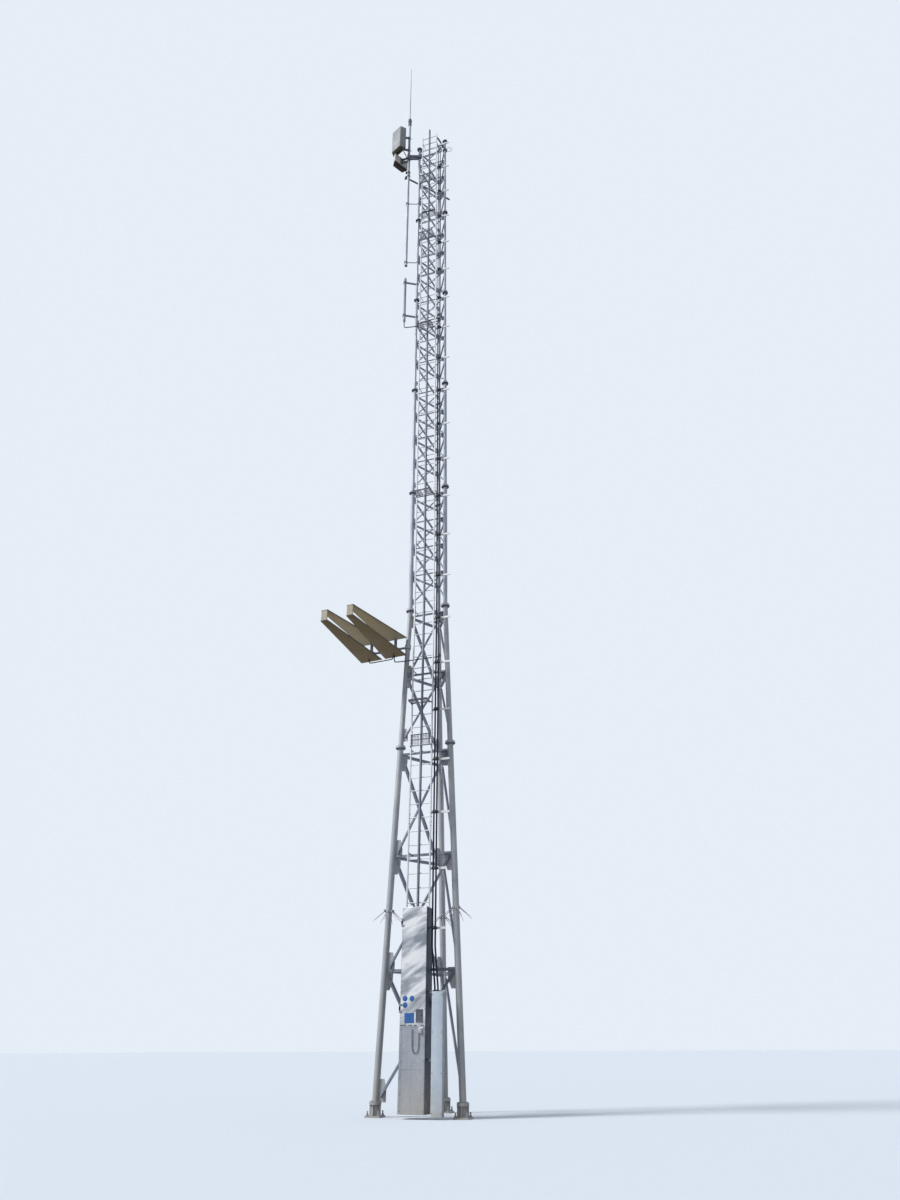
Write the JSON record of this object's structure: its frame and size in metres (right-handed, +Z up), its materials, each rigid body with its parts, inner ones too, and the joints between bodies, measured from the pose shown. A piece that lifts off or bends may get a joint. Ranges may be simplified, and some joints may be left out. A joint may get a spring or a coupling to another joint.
{
  "type": "self-supporting triangular lattice telecom tower with ladder and antennas",
  "caption": "Slender triangular lattice tower on flanged tube legs with outside ladder, locked ladder guard, folding foot plates, feeder run and antennas.",
  "frame": {"origin": "middle of the underside of the left leg's base plate, at ground level", "axes": "+X along the ladder face towards the right leg, +Y into the tower towards the rear leg, +Z up"},
  "size_m": [2.3871, 3.2324, 28.03],
  "materials": {
    "galvanised_steel": "dull hot-dip galvanised",
    "bracing_steel": "weathered galvanised angle",
    "platform_steel": "perforated galvanised plate",
    "bright_aluminium": "mill finish",
    "guard_sheet": "weathered sheet",
    "bright_sheet": "bright sheet, slightly buckled",
    "cover_sheet": "pale blue-grey sheet",
    "black_plastic": "matt",
    "cable_jacket": "satin jacket",
    "dark_fibreglass": "satin",
    "grey_radome": "satin",
    "grey_tube_radome": "satin",
    "beige_radome": "satin"
  },
  "bodies": {
    "tower": {"left_foot": "galvanised_steel", "right_foot": "galvanised_steel", "rear_foot": "galvanised_steel", "left_leg_lower": "galvanised_steel", "right_leg_lower": "galvanised_steel", "rear_leg_lower": "galvanised_steel", "left_leg_shaft": "galvanised_steel", "right_leg_shaft": "galvanised_steel", "rear_leg_shaft": "galvanised_steel", "front_bracing_lower": "bracing_steel", "right_bracing_lower": "bracing_steel", "left_bracing_lower": "bracing_steel", "front_bracing_shaft": "bracing_steel", "right_bracing_shaft": "bracing_steel", "left_bracing_shaft": "bracing_steel", "ladder_lower": "bright_aluminium", "ladder_shaft": "bright_aluminium", "fall_arrest_rail": "galvanised_steel", "ladder_brackets": "galvanised_steel", "platform_lugs": "galvanised_steel", "guard_sides": "guard_sheet", "guard_lower_panel": "guard_sheet", "cable_bars": "bright_aluminium", "cable_cleats": "black_plastic", "cable_cover": "cover_sheet", "feeder_cables": "cable_jacket", "spike_collars": "galvanised_steel", "antenna_pole": "galvanised_steel", "pole_arms": "galvanised_steel", "whip_antenna": "dark_fibreglass", "upper_panel_antenna": "grey_radome", "lower_panel_antenna": "beige_radome", "tube_antenna": "grey_tube_radome", "cross_boom": "galvanised_steel", "log_support": "galvanised_steel", "near_log_antenna": "beige_radome", "far_log_antenna": "beige_radome"},
    "foot_plate_1": {"platform_1": "platform_steel"},
    "foot_plate_2": {"platform_2": "platform_steel"},
    "foot_plate_3": {"platform_3": "platform_steel"},
    "foot_plate_4": {"platform_4": "platform_steel"},
    "foot_plate_5": {"platform_5": "platform_steel"},
    "foot_plate_6": {"platform_6": "platform_steel"},
    "foot_plate_7": {"platform_7": "platform_steel"},
    "guard_door": {"guard_door": "bright_sheet"}
  },
  "joints": [
    {"name": "foot_plate_1_fold", "type": "hinge", "parent": "tower", "child": "foot_plate_1", "pos_m": [0.75, -0.12849, 6.11618], "axis": [-1, 0, 0], "range_deg": [-90, 0]},
    {"name": "foot_plate_2_fold", "type": "hinge", "parent": "tower", "child": "foot_plate_2", "pos_m": [0.75, -0.10826, 6.98618], "axis": [-1, 0, 0], "range_deg": [0, 90]},
    {"name": "foot_plate_3_fold", "type": "hinge", "parent": "tower", "child": "foot_plate_3", "pos_m": [0.75, -0.05671, 11.9], "axis": [-1, 0, 0], "range_deg": [0, 90]},
    {"name": "foot_plate_4_fold", "type": "hinge", "parent": "tower", "child": "foot_plate_4", "pos_m": [0.75, -0.05671, 16.84], "axis": [-1, 0, 0], "range_deg": [0, 90]},
    {"name": "foot_plate_5_fold", "type": "hinge", "parent": "tower", "child": "foot_plate_5", "pos_m": [0.75, -0.05671, 20.09], "axis": [-1, 0, 0], "range_deg": [0, 90]},
    {"name": "foot_plate_6_fold", "type": "hinge", "parent": "tower", "child": "foot_plate_6", "pos_m": [0.75, -0.05671, 20.87], "axis": [-1, 0, 0], "range_deg": [-90, 0]},
    {"name": "foot_plate_7_fold", "type": "hinge", "parent": "tower", "child": "foot_plate_7", "pos_m": [0.75, -0.05671, 22.35], "axis": [-1, 0, 0], "range_deg": [0, 90]},
    {"name": "guard_door_hinge", "type": "hinge", "parent": "tower", "child": "guard_door", "pos_m": [0.517, -0.33832, 1.30846], "axis": [0, -0.0232, -0.9997], "range_deg": [0, 110]}
  ]
}
